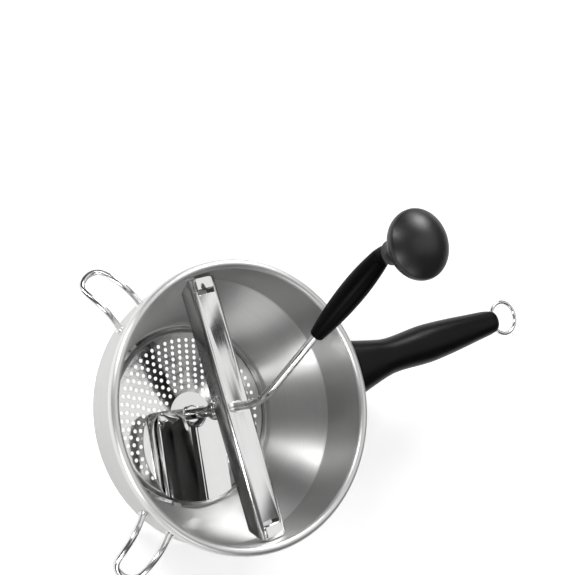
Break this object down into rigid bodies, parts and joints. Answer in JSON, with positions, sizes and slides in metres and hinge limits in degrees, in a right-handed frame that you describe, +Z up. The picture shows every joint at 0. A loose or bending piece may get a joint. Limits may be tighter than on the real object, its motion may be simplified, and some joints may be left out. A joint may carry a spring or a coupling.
{
  "type": "food mill",
  "caption": "Rotary food mill: steel bowl with pot hooks and long handle, sprung cross bar, and a knob crank that turns a half-moon blade over a perforated disc.",
  "frame": {"origin": "centre of the bowl's outlet, in the plane of the ring that the bowl stands on", "axes": "+Z up along the bowl's axis and the crank's rod, +X towards the long handle, +Y along the cross bar"},
  "size_m": [0.4072, 0.2291, 0.2518],
  "materials": {
    "satin_steel": "satin brushed stainless steel",
    "polished_steel": "mirror polished stainless steel",
    "spring_steel": "drawn spring wire",
    "black_plastic": "smooth matte black plastic"
  },
  "bodies": {
    "mill": {"bowl": "satin_steel", "lug_left": "satin_steel", "lug_right": "satin_steel", "hook_left": "polished_steel", "hook_right": "polished_steel", "handle_plate": "satin_steel", "handle_tang": "satin_steel", "disc_stops": "satin_steel", "sieve_disc": "polished_steel", "disc_boss": "polished_steel"},
    "bar": {"cross_bar": "polished_steel", "bar_bush": "polished_steel"},
    "crank": {"crank_rod": "polished_steel", "crank_grip": "black_plastic", "blade": "polished_steel", "hub_sleeve": "polished_steel", "hub_pin": "polished_steel", "spring_seat": "polished_steel", "spring": "spring_steel", "knob_clip": "spring_steel"},
    "knob": {"knob": "black_plastic"},
    "handle": {"handle_grip": "black_plastic"},
    "ring": {"hanging_ring": "polished_steel"}
  },
  "joints": [
    {"name": "crank_turn", "type": "hinge", "parent": "mill", "child": "crank", "pos_m": [0, 0, 0], "axis": [0, 0, -1], "continuous": true},
    {"name": "knob_spin", "type": "hinge", "parent": "crank", "child": "knob", "pos_m": [0.06758, 0.07506, 0.2393], "axis": [0, 0, 1], "continuous": true},
    {"name": "bar_press", "type": "slide", "parent": "mill", "child": "bar", "axis": [0, 0, -1], "range_m": [0, 0.004], "stiffness_N_per_m": 2000, "springref_m": -0.006, "deforming": ["spring"]},
    {"name": "handle_off", "type": "slide", "parent": "mill", "child": "handle", "axis": [1, 0, 0], "range_m": [0, 0.04]},
    {"name": "ring_swing", "type": "hinge", "parent": "handle", "child": "ring", "pos_m": [0.2621, 0, 0.075], "axis": [0, 1, 0], "range_deg": [-80, 80]}
  ]
}
